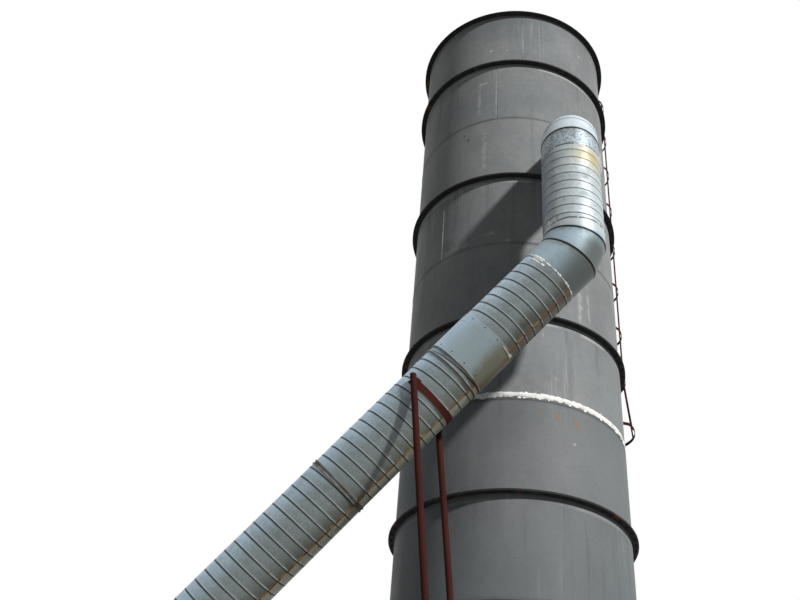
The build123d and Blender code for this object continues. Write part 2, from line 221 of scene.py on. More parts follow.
class Finish(NodeTree):
    """A surface finish. It builds its material once, as coats over each other."""

    made: ClassVar[dict[str, bpy.types.Material]] = {}
    name: str
    colour: Socket

    def paint(self) -> None:
        """Build the shader. Each finish does this for itself."""
        raise NotImplementedError

    def material(self) -> bpy.types.Material:
        """Make the material when it is first asked for.

        Returns:
            The finish's material.
        """
        if self.name not in self.made:
            material = bpy.data.materials.new(self.name)
            material.use_nodes = True
            self.tree = material.node_tree
            self.tree.nodes.clear()
            self.shader = self.add("ShaderNodeBsdfPrincipled")
            self.add("ShaderNodeOutputMaterial", {"Surface": self.shader})
            self.place = self.add("ShaderNodeTexCoord").outputs["Object"]
            self.paint()
            self.made[self.name] = material
        return self.made[self.name]

    def axes(self) -> list[Value]:
        """Object coordinates as three numbers."""
        return [Value(self, axis) for axis in self.add("ShaderNodeSeparateXYZ", {0: self.place}).outputs]

    def dot(self, direction: Vector, origin: Vector) -> Value:
        """Metres along a unit direction from an origin."""
        node = self.add("ShaderNodeVectorMath", {0: self.place, 1: tuple(direction)}, operation="DOT_PRODUCT")
        return Value(self, node.outputs["Value"]) - direction.dot(origin)

    def noise(self, scale: float, detail: float = 3.0, shift: float = 0.0, stretch: Triple = (1, 1, 1)) -> Value:
        """Fractal noise.

        Args:
            scale: features per metre.
            detail: octaves.
            shift: offset, so that two noises differ.
            stretch: factor along each axis, small for long features.

        Returns:
            A value near 0.5.
        """
        moved = tuple(shift * way for way in NOISE_WAY)
        place = self.add("ShaderNodeVectorMath", {0: self.place, 1: stretch, 2: moved}, operation="MULTIPLY_ADD")
        node = self.add("ShaderNodeTexNoise", {"Vector": place, "Scale": scale, "Detail": detail})
        return Value(self, node.outputs[0])

    def spangle(self, scale: float) -> Value:
        """Crystal facets of zinc, each with its own tone from 0 to 1."""
        cells = self.add("ShaderNodeTexVoronoi", {"Vector": self.place, "Scale": scale, "Randomness": 1.0})
        return Value(self, self.add("ShaderNodeSeparateColor", {0: cells.outputs["Color"]}).outputs[0])

    def chance(self, number: Value) -> Value:
        """One random value for each whole number."""
        node = self.add("ShaderNodeTexWhiteNoise", {"W": number}, noise_dimensions="1D")
        return Value(self, node.outputs["Value"])

    def mix(self, factor: object, first: object, second: object, blend: str = "MIX") -> Socket:
        """Blend two colours.

        Args:
            factor: share of the second.
            first: colour or link.
            second: colour or link.
            blend: how they blend.

        Returns:
            The colour's socket.
        """
        first, second = [c if isinstance(c, Socket) else (*c, 1.0) for c in (first, second)]
        return self.add(
            "ShaderNodeMix", {0: factor, 6: first, 7: second}, data_type="RGBA", blend_type=blend,
            clamp_factor=True).outputs[2]

    def shaded(self, colour: object, tone: Value) -> Socket:
        """A colour times a tone."""
        grey = self.add("ShaderNodeCombineColor", {0: tone, 1: tone, 2: tone}).outputs[0]
        return self.mix(1.0, colour, grey, "MULTIPLY")

    def lay(self, share: object, colour: object) -> None:
        """Lay a colour over the coats so far."""
        self.colour = self.mix(share, self.colour, colour)

    def scatter(self, patches: Patches, where: object = 1.0) -> Value:
        """Lay patches over the coats so far.

        Args:
            patches: their colour and noise.
            where: share of them that shows at each place.

        Returns:
            Where they are, from 0 to 1.
        """
        noise = self.noise(patches.scale, patches.detail, patches.shift, patches.stretch)
        mask = noise.rise(patches.low, patches.high)
        self.lay(mask * (where * patches.strength), patches.colour)
        return mask

    def old_sealant(self) -> None:
        """Draw dark broken lines of old sealant, with pale edges, at both ends of the riser."""
        gaps = self.noise(12.0, 4.0, 71.0, (1, 1, 0.3))
        waver = self.axes()[2] + (self.noise(6.0, shift=73.0) - 0.5) * 0.03
        for level in RISER_ENDS:
            self.lay(waver.near(level, 0.040) * (1.0 - gaps.rise(0.38, 0.50)) * 0.5, PALE_SEALANT)
            self.lay(waver.near(level, 0.020) * gaps.rise(0.42, 0.50), DARK_SEALANT)

    def surface(self, roughness: object, metallic: object = 0.0, height: Value | None = None,
                depth: float = 0.001, gloss: float = 0.3) -> None:
        """Connect the surface.

        Args:
            roughness: roughness.
            metallic: share of bare metal.
            height: relief from 0 to 1.
            depth: how deep the relief is, in metres.
            gloss: specular level, the same all over.
        """
        if height is not None:
            bump = self.add("ShaderNodeBump", {"Height": height, "Distance": depth, "Strength": 1.0})
            self.feed(self.shader.inputs["Normal"], bump)
        for name, value in (("Base Color", self.colour), ("Roughness", roughness), ("Metallic", metallic),
                            ("Specular IOR Level", gloss)):
            self.feed(self.shader.inputs[name], value)


# Places along the duct

@dataclass(frozen=True)
class DuctAxis:
    """Line that a straight run of duct follows, with the direction that angles start from."""

    origin: Vector
    along: Vector
    front: Vector

    @property
    def side(self) -> Vector:
        """Direction at a quarter turn from the front."""
        return self.along.cross(self.front)

    @property
    def matrix(self) -> Matrix:
        """Place of a run that is built along +Z with angles from +X."""
        return placed_axes(self.origin, self.front, self.side, self.along)

    def point(self, distance: float, angle: float, radius: float) -> Vector:
        """Point at metres along the axis, degrees round it and metres from it."""
        turn = math.radians(angle)
        return self.origin + self.along * distance + (self.front * math.cos(turn) + self.side * math.sin(turn)) * radius

    def distance(self, finish: Finish) -> Value:
        """Distance along the axis, for a shader."""
        return finish.dot(self.along, self.origin)

    def angle(self, finish: Finish) -> Value:
        """Angle round the axis in radians, for a shader."""
        return finish.dot(self.side, self.origin).bearing(finish.dot(self.front, self.origin))


def placed_axes(origin: Vector, *axes: Vector) -> Matrix:
    """Matrix that puts a thing at an origin, with its axes along three directions."""
    return Matrix.Translation(origin) @ Matrix(axes).transposed().to_4x4()


UP = Vector((0, 0, 1))
LOWER_CORNER = Vector((1.387, -2.203, 10.1101))
TOP_CORNER = Vector((1.387, -2.203, 12.0404))
RISER_ENDS = (10.350, 11.607)
SLOPE = DuctAxis(LOWER_CORNER, Vector((-SLOPE_COS, 0, -SLOPE_COS)), Vector((0, -1, 0)))
RISER = DuctAxis(Vector((1.387, -2.203, 0)), UP, Vector((1, 0, 0)))
INLET_WAY = Vector((-0.11294, 0.79058, 0.60182)).normalized()
INLET = DuctAxis(TOP_CORNER, INLET_WAY, Vector((INLET_WAY.y, -INLET_WAY.x, 0)).normalized())


@dataclass(frozen=True)
class Elbow:
    """Gored elbow between two straight runs, given by its corner."""

    corner: Vector
    way_in: Vector
    way_out: Vector
    bend_radius: float
    gores: int

    @property
    def half_gore(self) -> float:
        """Half of the angle that one gore turns through, in radians."""
        return self.way_in.angle(self.way_out) / (2 * (self.gores - 1))

    def mitres(self) -> list[tuple[Vector, Vector]]:
        """Find the joint between each two gores.

        Returns:
            Its middle and the direction that it faces.
        """
        turn = self.way_in.angle(self.way_out)
        across = (self.way_out - self.way_in * math.cos(turn)).normalized()
        step = self.bend_radius * math.tan(self.half_gore)
        point = self.corner - self.way_in * (self.bend_radius * math.tan(turn / 2) - step)
        joints = []
        for gore in range(self.gores - 1):
            angle = 2 * self.half_gore * gore
            if gore:
                point = point + (self.way_in * math.cos(angle) + across * math.sin(angle)) * (2 * step)
            facing = angle + self.half_gore
            joints.append((point, (self.way_in * math.cos(facing) + across * math.sin(facing)).normalized()))
        return joints

    def seam_matrices(self) -> list[Matrix]:
        """Place of the oval seam at each joint, for a ring that is built round +Z."""
        side, stretch = self.way_in.cross(self.way_out).normalized(), 1.0 / math.cos(self.half_gore)
        return [placed_axes(point, side, facing.cross(side) * stretch, facing) for point, facing in self.mitres()]


class Hand(Enum):
    """Which way a spiral seam turns as it goes along its axis."""

    LEFT = -1
    RIGHT = 1


@dataclass(frozen=True)
class SeamRun:
    """Spiral lock seam on one length of duct."""

    axis: DuctAxis
    start: float
    end: float
    pitch: float
    seam_at: float
    hand: Hand

    @property
    def start_angle(self) -> float:
        """Angle of the seam where the run starts, in radians."""
        return self.hand.value * math.tau * (self.start - self.seam_at) / self.pitch

    def phase(self, finish: Finish) -> Value:
        """Strips counted along the duct, whole at the seam, for a shader."""
        distance, angle = self.axis.distance(finish), self.axis.angle(finish)
        return (distance - self.seam_at) / self.pitch - angle * (self.hand.value / math.tau)


TOP_ELBOW = Elbow(TOP_CORNER, UP, INLET_WAY, 0.540, 4)
LOWER_ELBOW = Elbow(LOWER_CORNER, -SLOPE.along, UP, 0.570, 3)

RISER_SEAM = SeamRun(RISER, 10.362, 11.598, 0.1345, 10.3927, Hand.LEFT)
INLET_SEAM = SeamRun(INLET, 0.345, 1.02, 0.137, 0.4, Hand.LEFT)
UPPER_SEAM = SeamRun(SLOPE, 0.478, 1.490, 0.134, 0.589, Hand.RIGHT)
MIDDLE_SEAM = SeamRun(SLOPE, 2.138, 3.876, 0.1413, 2.0798, Hand.RIGHT)
LOWER_SEAM = SeamRun(SLOPE, 3.945, 6.352, 0.1412, 4.1052, Hand.RIGHT)


# Finishes

@dataclass(frozen=True)
class Mark:
    """Soft patch on the shell: degrees round it, height, half width, half height and strength."""

    angle: float
    height: float
    half_width: float
    half_height: float
    strength: float

    def mask(self, turn: Value, height: Value, ragged: Value) -> Value:
        """Where the patch is.

        Args:
            turn: radians round the shell.
            height: metres above the floor.
            ragged: noise that breaks its edge.

        Returns:
            A value from 0 to 1.
        """
        across = (turn - math.radians(self.angle)) * (TOWER_RADIUS / self.half_width)
        upright = (height - self.height) * (1.0 / self.half_height)
        spread = (across * across + upright * upright).root()
        return (1.0 - (spread + (ragged - 0.5) * 2.6).rise(0.0, 1.2)) * self.strength


@dataclass(eq=False)
class ShellPaint(Finish):
    """Dark grey paint on rolled plate, streaked by rain below each joint."""

    name: str = "shell_grey"
    dark: Triple = (0.118, 0.125, 0.131)
    light: Triple = (0.360, 0.364, 0.350)
    chalk: Triple = (0.50, 0.51, 0.50)
    rust: Triple = (0.26, 0.15, 0.075)
    soot: Triple = (0.03, 0.03, 0.03)
    old_coat: Triple = (0.085, 0.095, 0.103)
    coat_edge: tuple[float, float] = (8.74, 8.78)
    weld_dirt: Triple = (0.07, 0.07, 0.07)
    greenish: Patches = Patches((0.185, 0.222, 0.225), 0.45, 0.5, 2.0, 9.0, 0.35, 0.65)
    blisters: Patches = Patches((0.07, 0.072, 0.075), 0.5, 34.0, 2.0, 81.0, 0.66, 0.72)
    rust_spots: Patches = Patches((0.26, 0.15, 0.075), 0.6, 5.0, 6.0, 17.0, 0.70, 0.75)
    dull_runs: Patches = Patches((0.08, 0.08, 0.082), 0.45, 7.0, 4.0, 51.0, 0.56, 0.74, (1, 1, 0.06))
    pale_highlight_line: Patches = Patches((0.55, 0.55, 0.53), 0.55, 2.0, 6.0, 61.0, 0.38, 0.58)
    rusty: tuple[Mark, ...] = (
        Mark(-52.4, 8.517, 0.040, 0.085, 0.75), Mark(-41.7, 8.50, 0.045, 0.075, 0.7),
        Mark(-47.0, 8.42, 0.025, 0.04, 0.35))
    scuffs: tuple[Mark, ...] = (
        Mark(-44.0, 8.21, 0.025, 0.025, 0.6), Mark(-37.0, 10.33, 0.045, 0.42, 0.45),
        Mark(-31.0, 10.40, 0.03, 0.36, 0.35), Mark(-116.6, 11.75, 0.010, 0.50, 0.8),
        Mark(-86.1, 11.40, 0.09, 0.05, 0.4), Mark(-77.0, 11.24, 0.06, 0.04, 0.4),
        Mark(-107.0, 11.28, 0.22, 0.05, 0.3), Mark(-123.5, 10.615, 0.07, 0.05, 0.35),
        Mark(-87.9, 15.316, 0.030, 0.030, 0.8), Mark(-77.7, 15.277, 0.030, 0.030, 0.6),
        Mark(-26.8, 15.67, 0.035, 0.035, 0.8), Mark(-92.4, 14.555, 0.09, 0.022, 0.55),
        Mark(-94.6, 14.207, 0.030, 0.42, 0.4), Mark(-90.7, 13.024, 0.045, 0.55, 0.3),
        Mark(-67.9, 15.55, 0.012, 0.60, 0.6), Mark(-84.0, 14.30, 0.014, 0.60, 0.45),
        Mark(-52.8, 9.07, 0.022, 0.022, 0.6), Mark(-58.9, 9.8, 0.012, 0.20, 0.4))
    sooty: tuple[Mark, ...] = (
        Mark(-104.0, 13.50, 0.030, 0.05, 0.8), Mark(-101.2, 13.38, 0.026, 0.045, 0.9),
        Mark(-112.0, 11.4, 0.14, 0.16, 0.35))

    def paint(self) -> None:
        """Mix the coats, courses, runs and rust."""
        x, y, z = self.axes()
        turn = y.bearing(x)
        course = z / (CAN_HEIGHT / 2)
        cloud = self.noise(0.7, 5.0)
        patch = self.noise(3.1, 6.0, 4.0, (1, 1, 0.6))
        grain = self.noise(60.0, 4.0, 2.0)
        speck = self.noise(13.0, 6.0, 25.0)
        tone = cloud.rise(0.25, 0.75) * 0.46 + patch * 0.30 + speck * 0.36 + self.chance(course.floor()) * 0.20 - 0.19
        self.colour = self.mix(tone, self.dark, self.light)
        self.scatter(self.greenish, 1.0 - z.rise(8.0, 10.5) * 0.6)
        self.streak(CAN_HEIGHT - (z / CAN_HEIGHT).fraction() * CAN_HEIGHT)
        self.lay((1.0 - z.rise(*self.coat_edge)) * 0.52, self.old_coat)
        weld = ((course.fraction() - 0.5).size() - 0.5).size() * (CAN_HEIGHT / 2)
        self.lay(weld.near(0.0, 0.05) * patch * 0.8, self.weld_dirt)
        self.scatter(self.blisters, cloud.rise(0.42, 0.58))
        ragged = self.noise(13.0, 5.0, 33.0)
        for marks, shade in ((self.rusty, self.rust), (self.scuffs, self.chalk), (self.sooty, self.soot)):
            for mark in marks:
                self.lay(mark.mask(turn, z, ragged), shade)
        self.scatter(self.rust_spots, patch.rise(0.45, 0.6))
        self.surface(
            0.46 + patch * 0.3, height=grain * 0.4 + speck * 0.8 + cloud * 6.0, depth=0.0012, gloss=0.12)

    def streak(self, below: Value) -> None:
        """Draw the rain's runs, the dirt right under each joint and a painted pale highlight line below it.

        Args:
            below: metres below the joint overhead.
        """
        run = self.noise(9.0, 5.0, 7.0, (1, 1, 0.05))
        fine_run = self.noise(30.0, 3.0, 13.0, (1, 1, 0.03))
        where = self.noise(1.1, 3.0, 41.0, (1, 1, 0.5)).rise(0.50, 0.66)
        fade = 1.0 - below.rise(0.2, 2.3) * 0.75
        pale = (fine_run.rise(0.55, 0.72) * 0.55 + run.rise(0.55, 0.72) * 0.45) * fade * where
        self.lay(pale * 0.8, self.chalk)
        self.scatter(self.dull_runs, fade)
        # Painted highlight: a pale line below each joint, where the shell comes out of the ring's shade.
        self.scatter(self.pale_highlight_line, below.near(0.085, 0.035))


@dataclass(eq=False)
class FlangePaint(Finish):
    """Black, dirty joint rings with rust at the edge."""

    name: str = "flange_black"
    dark: Triple = (0.014, 0.014, 0.015)
    light: Triple = (0.045, 0.045, 0.046)
    worn: Patches = Patches((0.16, 0.16, 0.155), 0.35, 14.0, 5.0, 3.0, 0.55, 0.75)
    rust: Patches = Patches((0.16, 0.06, 0.025), 0.55, 6.0, 7.0, 11.0, 0.60, 0.68)

    def paint(self) -> None:
        """Mix soot, worn grey and rust."""
        self.colour = self.mix(self.noise(4.0, 6.0), self.dark, self.light)
        worn = self.scatter(self.worn)
        self.scatter(self.rust)
        self.surface(0.72, height=worn, depth=0.0008, gloss=0.10)


@dataclass(eq=False)
class Mastic(Finish):
    """Trowelled white sealing compound, dirty in its hollows."""

    name: str = "white_mastic"
    hollow: Triple = (0.78, 0.78, 0.74)
    crown: Triple = (0.94, 0.93, 0.89)
    dirt: Patches = Patches((0.43, 0.38, 0.28), 0.60, 11.0, 6.0, 5.0, 0.54, 0.70)

    def paint(self) -> None:
        """Mix the white with dirt."""
        lump = self.noise(38.0, 5.0)
        self.colour = self.mix(lump, self.hollow, self.crown)
        self.scatter(self.dirt)
        self.surface(0.75, height=lump, depth=0.0025, gloss=0.25)


@dataclass(frozen=True)
class ZincTones:
    """Colours of zinc round a duct, from a light top that is partly a painted sky reflection to a dark underside that
    is partly dirt and partly painted shade.
    """

    washed_and_sky_lit: Triple = (0.50, 0.655, 0.79)
    middle: Triple = (0.190, 0.225, 0.222)
    under: Triple = (0.150, 0.158, 0.138)

    def on_slope(self, finish: Finish) -> Socket:
        """Mix the colour round the sloping duct.

        Args:
            finish: the finish that has these tones.

        Returns:
            The colour's socket.
        """
        # Painted light and shade: lighter and bluer on top for a painted sky reflection, darker underneath for painted
        # shade as well as dirt.
        lowness = 0.0 - SLOPE.angle(finish).sine() + (finish.noise(3.5, 5.0, 15.0) - 0.5) * 0.35
        body = finish.mix(lowness.rise(-0.85, 0.50), self.washed_and_sky_lit, self.middle)
        return finish.mix(lowness.rise(0.72, 1.0), body, self.under)


@dataclass(eq=False)
class Galvanised(Finish):
    """Zinc coated strip with dirt and painted shade along its spiral seam, a painted highlight beside it, and the rust
    line that water draws underneath.
    """

    name: str
    run: SeamRun
    sloping: bool = False
    tones: ZincTones = ZincTones()
    rust_line: float = 0.0
    brown_band: float = 0.0
    yellow_stain: float = 0.0
    metal: float = 0.24
    gloss: float = 0.3
    beyond_line: Triple = (0.58, 0.58, 0.46)
    dark_strip: Triple = (0.43, 0.485, 0.50)
    light_strip: Triple = (0.52, 0.575, 0.59)
    crest_highlight: Triple = (0.80, 0.86, 0.88)
    seam_dirt_and_shade: Triple = (0.012, 0.015, 0.017)
    painted_shade_side: Triple = (0.10, 0.14, 0.19)
    smear_pale: Triple = (0.72, 0.70, 0.68)
    smear_rust: Triple = (0.14, 0.085, 0.07)
    golden: Triple = (0.40, 0.235, 0.070)
    dark_golden: Triple = (0.20, 0.085, 0.028)
    knot: Triple = (0.02, 0.014, 0.010)
    grime: Patches = Patches((0.20, 0.22, 0.19), 0.22, 5.0, 6.0, 8.0, 0.48, 0.75)
    yellow: Patches = Patches((0.48, 0.39, 0.15), 1.0, 5.0, 3.0, 0.0, 0.25, 0.50)
    brown: Patches = Patches((0.125, 0.055, 0.022), 1.0, 6.0, 6.0, 6.0, 0.36, 0.58)

    def paint(self) -> None:
        """Mix spangle, strips, seams and stains."""
        angle, phase = self.run.axis.angle(self), self.run.phase(self)
        offset = ((phase + 0.5).fraction() - 0.5) * self.run.pitch
        crystal = self.spangle(46.0)
        cloud = self.noise(2.2, 5.0)
        wipe = self.noise(24.0, 4.0, 3.0)
        # The tone's last term is a painted highlight in a band beside each seam.
        tone = (0.62 + crystal * 0.20 + cloud * 0.26 + wipe * 0.16 + self.chance(phase.floor()) * 0.12
                + offset.near(0.035, 0.05) * 0.07)
        if self.sloping:
            zinc, dark = self.tones.on_slope(self), offset.near(0.0095, 0.0145)
        else:
            zinc, dark = self.mix(cloud, self.dark_strip, self.light_strip), offset.near(0.0065, 0.0125)
        self.colour = self.shaded(zinc, tone)
        grime = self.scatter(self.grime)
        # Painted highlight along one edge of the seam.
        self.lay(offset.near(-0.010, 0.010) * 0.22, self.crest_highlight)
        if self.rust_line:
            self.stain_underside(angle, offset)
        # Dark line along the seam's other edge: dirt and painted shade.
        self.lay(dark * 0.95, self.seam_dirt_and_shade)
        if not self.sloping:
            self.old_sealant()
        if self.yellow_stain:
            self.stain_riser(angle)
        self.surface(
            0.42 + crystal * 0.10 + grime * 0.2 + dark * 0.3, (self.metal - grime * 0.10) * (1.0 - dark),
            wipe * 0.4 + crystal * 0.3, 0.0006, self.gloss)

    def stain_riser(self, angle: Value) -> None:
        """Draw painted shade, broken into streaks, on the riser's side away from the light, the yellow stain near its
        top and the smear near its foot.

        Args:
            angle: radians round the duct.
        """
        z = self.axes()[2]
        # Painted shade: the riser's side away from the key light is darkened and tinted blue, in streaks.
        painted_shade = angle.near(math.radians(-155.0), 0.95) * self.noise(4.0, 5.0, 91.0, (1, 1, 0.5)).rise(0.05, 0.5)
        self.lay(painted_shade * 0.90, self.painted_shade_side)
        self.scatter(self.yellow, z.near(11.42, 0.30) * angle.near(-0.55, 1.15) * self.yellow_stain)
        ragged = self.noise(16.0, 5.0, 93.0, (1, 1, 0.5))
        smear = z.near(10.395, 0.075) * angle.near(math.radians(-125.0), 0.55)
        self.lay(smear * ragged.rise(0.42, 0.55), self.smear_pale)
        self.lay(smear * (1.0 - ragged.rise(0.36, 0.46)) * 0.8, self.smear_rust)

    def stain_underside(self, angle: Value, offset: Value) -> None:
        """Draw the golden line, its knots at the seams and the olive strip beyond it.

        Args:
            angle: radians round the duct.
            offset: metres from the seam.
        """
        round_wall = (angle + math.radians(85.0)) * DUCT_RADIUS
        ragged = self.noise(9.0, 5.0, 1.0)
        past = 0.0 - round_wall
        self.lay(past.rise(-0.004, 0.022) * past.rise(0.45, 0.25) * (0.35 + ragged * 0.5), self.beyond_line)
        line = (round_wall + (ragged - 0.5) * 0.016).near(0.0, 0.027) * 1.5
        self.lay(line * self.rust_line, self.mix(ragged.rise(0.38, 0.62), self.golden, self.dark_golden))
        if self.brown_band:
            self.scatter(self.brown, round_wall.near(-0.018, 0.070) * self.brown_band)
        self.lay(round_wall.near(0.0, 0.022) * offset.near(0.006, 0.020) * 0.9, self.knot)


@dataclass(eq=False)
class GoreZinc(Finish):
    """Flat zinc coated sheet of the gored elbows, dark along its lap seams, partly dirt and painted shadow under each
    lap, with painted shade on the lower side where asked.
    """

    name: str
    elbow: Elbow
    mottled_collar: bool = False
    tint: Triple = (0.34, 0.455, 0.525)
    light: Triple = (0.43, 0.535, 0.585)
    painted_shade: float = 0.0
    collar_above: float = 20.0
    collar_colour: Triple = (0.47, 0.525, 0.54)
    dark_mitres: int = 2
    underside_shade: Triple = (0.115, 0.135, 0.13)
    mottled: Triple = (0.30, 0.365, 0.40)
    mitre_black: Triple = (0.006, 0.007, 0.008)
    dirt: Patches = Patches((0.20, 0.18, 0.12), 0.4, 7.0, 6.0, 12.0, 0.56, 0.78)
    dots: Patches = Patches((0.14, 0.17, 0.18), 0.75, 9.0, 3.0, 9.0, 0.26, 0.46)
    mitre_dirt_and_shadow: Patches = Patches((0.14, 0.13, 0.10), 0.65, 11.0, 4.0, 2.0, 0.25, 0.7)

    def paint(self) -> None:
        """Mix spangle, clouds, runs and seams."""
        crystal = self.spangle(40.0)
        cloud = self.noise(2.6, 5.0)
        run = self.noise(14.0, 3.0, 5.0, (1, 1, 0.07))
        height = self.dot(UP, Vector())
        tone = 0.80 + crystal * 0.08 + cloud * 0.28 + (run - 0.5) * 0.2
        self.colour = self.shaded(self.mix(cloud, self.tint, self.light), tone)
        self.lay(height.rise(self.collar_above, self.collar_above + 0.02), self.shaded(self.collar_colour, tone))
        self.scatter(self.dirt)
        # Painted shade: the lower elbow darkens on its lower side, like the sloping duct.
        if self.painted_shade:
            lowness = (0.0 - SLOPE.angle(self).sine() + (cloud - 0.5) * 0.3).rise(0.05, 0.90)
            self.lay(lowness * (1.0 - height.rise(10.02, 10.22)) * self.painted_shade, self.underside_shade)
        mitres = self.elbow.mitres()
        if self.mottled_collar:
            point, facing = mitres[0]
            collar = 1.0 - self.dot(facing, point).rise(-0.02, 0.0)
            self.lay(collar * 0.55, self.mottled)
            self.scatter(self.dots, self.spangle(58.0).rise(0.50, 0.62) * collar)
        self.old_sealant()
        for number, (point, facing) in enumerate(mitres):
            dark = 1.0 if number < self.dark_mitres else 0.15
            across = self.dot(facing, point)
            # Dirt and painted shadow below each lap's lip, then the dark line at the joint, itself partly painted
            # shadow.
            self.scatter(self.mitre_dirt_and_shadow, across.near(-0.030, 0.075) * dark)
            self.lay(across.near(-0.013, 0.021) * (1.6 * dark), self.mitre_black)
        self.surface(0.40 + cloud * 0.16, 0.22, crystal, 0.0004)


@dataclass(eq=False)
class SleeveZinc(Finish):
    """Plain zinc sleeve with a brown stain underneath, light on top with a painted sky reflection and dark below with
    painted shade.
    """

    name: str = "sleeve_zinc"
    tones: ZincTones = ZincTones((0.50, 0.66, 0.79), (0.265, 0.325, 0.34), (0.17, 0.17, 0.125))
    beyond_stain: Triple = (0.13, 0.135, 0.10)
    stain: Patches = Patches((0.19, 0.125, 0.045), 0.8, 7.0, 6.0, 6.0, 0.30, 0.58)
    faint_ring: Patches = Patches((0.20, 0.23, 0.23), 0.5, 12.0, 3.0, 2.0, 0.4, 0.6)

    def paint(self) -> None:
        """Mix soft clouds and the stain."""
        cloud = self.noise(3.0, 4.0)
        # The tones paint a sky reflection on top and shade underneath.
        self.colour = self.shaded(self.tones.on_slope(self), 0.84 + cloud * 0.26 + self.spangle(50.0) * 0.05)
        round_wall = (SLOPE.angle(self) + math.radians(96.0)) * DUCT_RADIUS
        self.scatter(self.stain, round_wall.near(0.0, 0.065))
        past = 0.0 - round_wall
        self.lay(past.rise(0.02, 0.12) * past.rise(0.45, 0.25) * 0.5, self.beyond_stain)
        self.scatter(self.faint_ring, SLOPE.distance(self).near(1.60, 0.012))
        self.surface(0.38 + cloud * 0.14, 0.24, cloud, 0.0006)


@dataclass(eq=False)
class RustySteel(Finish):
    """Bare or poorly coated sheet that has rusted in streaks, most of all under the sloping duct."""

    name: str = "rusty_band"
    base: Triple = (0.19, 0.205, 0.195)
    amount: float = 0.85
    upper_side: float = 0.75
    dark_rust: Triple = (0.085, 0.034, 0.015)
    light_rust: Triple = (0.23, 0.10, 0.038)

    def paint(self) -> None:
        """Mix weathered zinc and rust."""
        fine = self.noise(48.0, 5.0, 4.0)
        self.colour = self.mix(fine, self.base, tuple(1.4 * channel for channel in self.base))
        rust = self.mix(fine, self.dark_rust, self.light_rust)
        share = SLOPE.angle(self).near(math.radians(-90.0), 1.6) * (1.0 - self.upper_side) + self.upper_side
        self.lay(self.noise(9.0, 7.0).rise(0.36, 0.60) * share * self.amount, rust)
        self.surface(0.7, 0.1, fine, 0.0012, 0.25)


@dataclass(eq=False)
class RedPrimer(Finish):
    """Dull red-brown primer, chipped and rusting."""

    name: str = "dull_red_primer"
    dark: Triple = (0.030, 0.0085, 0.0065)
    light: Triple = (0.070, 0.019, 0.0145)
    chipped: Triple = (0.030, 0.014, 0.011)
    soot: Patches = Patches((0.024, 0.012, 0.010), 0.5, 1.4, 3.0, 8.0, 0.5, 0.72)

    def paint(self) -> None:
        """Mix primer, soot and chips."""
        chip = self.noise(30.0, 6.0, 4.0)
        self.colour = self.mix(self.noise(3.0, 5.0, stretch=(1, 1, 0.4)), self.dark, self.light)
        self.lay(chip.rise(0.60, 0.68) * 0.7, self.chipped)
        self.scatter(self.soot)
        self.surface(0.80, height=chip, depth=0.0008, gloss=0.05)


@dataclass(eq=False)
class SeamZinc(Finish):
    """Rolled edge of the lock seam, dull above, with a painted highlight on the lower front of the slope."""

    name: str = "seam_zinc"
    dull: Triple = (0.25, 0.285, 0.29)
    shaded_dull: Triple = (0.085, 0.10, 0.105)
    bright: Triple = (0.60, 0.61, 0.55)
    rust: Triple = (0.06, 0.035, 0.015)
    dirt: Patches = Patches((0.10, 0.10, 0.085), 0.6, 11.0, 5.0, 0.0, 0.42, 0.68)

    def paint(self) -> None:
        """Mix dull zinc, its bright part and dirt."""
        angle = SLOPE.angle(self)
        below_riser = 1.0 - self.dot(UP, Vector()).rise(9.7, 9.9)
        self.colour = self.mix(below_riser, self.dull, self.shaded_dull)
        # Painted highlight on the seam's lower front.
        self.lay(angle.near(math.radians(-78.0), 0.80) * below_riser * 0.9, self.bright)
        dirt = self.scatter(self.dirt)
        self.lay(angle.near(math.radians(-86.0), 0.09) * below_riser * 0.8, self.rust)
        self.surface(0.45, 0.25, dirt, 0.0004, 0.35)


@dataclass(eq=False)
class ZincFastener(Finish):
    """Small plated bolt or screw."""

    name: str = "zinc_fastener"
    plating: Triple = (0.30, 0.31, 0.31)
    rust: Triple = (0.17, 0.08, 0.035)

    def paint(self) -> None:
        """Mix dull zinc and rust."""
        patch = self.noise(60.0, 4.0)
        self.colour = self.mix(patch.rise(0.5, 0.7) * 0.6, self.plating, self.rust)
        self.surface(0.5, 0.4, patch, 0.0004)


@dataclass(eq=False)
class StudioFloor(Finish):
    """Pale where it is seen or reflected, and darker for the light that it throws back."""

    name: str = "floor_pale"
    pale: Triple = (0.82, 0.82, 0.81)
    bounce: Triple = (0.17, 0.17, 0.17)

    def paint(self) -> None:
        """Choose the colour by the kind of ray."""
        self.colour = self.mix(seen_directly(self), self.bounce, self.pale)
        self.surface(0.8)


def seen_directly(nodes: NodeTree) -> Value:
    """Tell apart the rays that look from the light that is thrown back.

    Args:
        nodes: the tree that asks.

    Returns:
        1 for rays that the camera, a reflection or glass sees, and 0 for others.
    """
    rays = nodes.add("ShaderNodeLightPath")
    camera, mirror, glass = (
        Value(nodes, rays.outputs[f"Is {kind} Ray"]) for kind in ("Camera", "Glossy", "Transmission"))
    return camera.at_least(mirror).at_least(glass)


# Geometry

def new_object(name: str, data: bpy.types.ID) -> bpy.types.Object:
    """Add an object to the scene.

    Args:
        name: its name.
        data: its mesh, light or camera.

    Returns:
        The object.
    """
    thing = bpy.data.objects.new(name, data)
    bpy.context.scene.collection.objects.link(thing)
    return thing


def plain_mesh(carrier: bpy.types.Object, matrix: Matrix) -> Mesh:
    """Take the mesh that an object's modifiers make, and drop the object.

    Args:
        carrier: the object.
        matrix: where the mesh goes.

    Returns:
        The mesh, in place.
    """
    mesh = bpy.data.meshes.new_from_object(carrier.evaluated_get(bpy.context.evaluated_depsgraph_get()))
    carrier.modifiers.clear()
    bpy.data.objects.remove(carrier)
    mesh.transform(matrix)
    return mesh


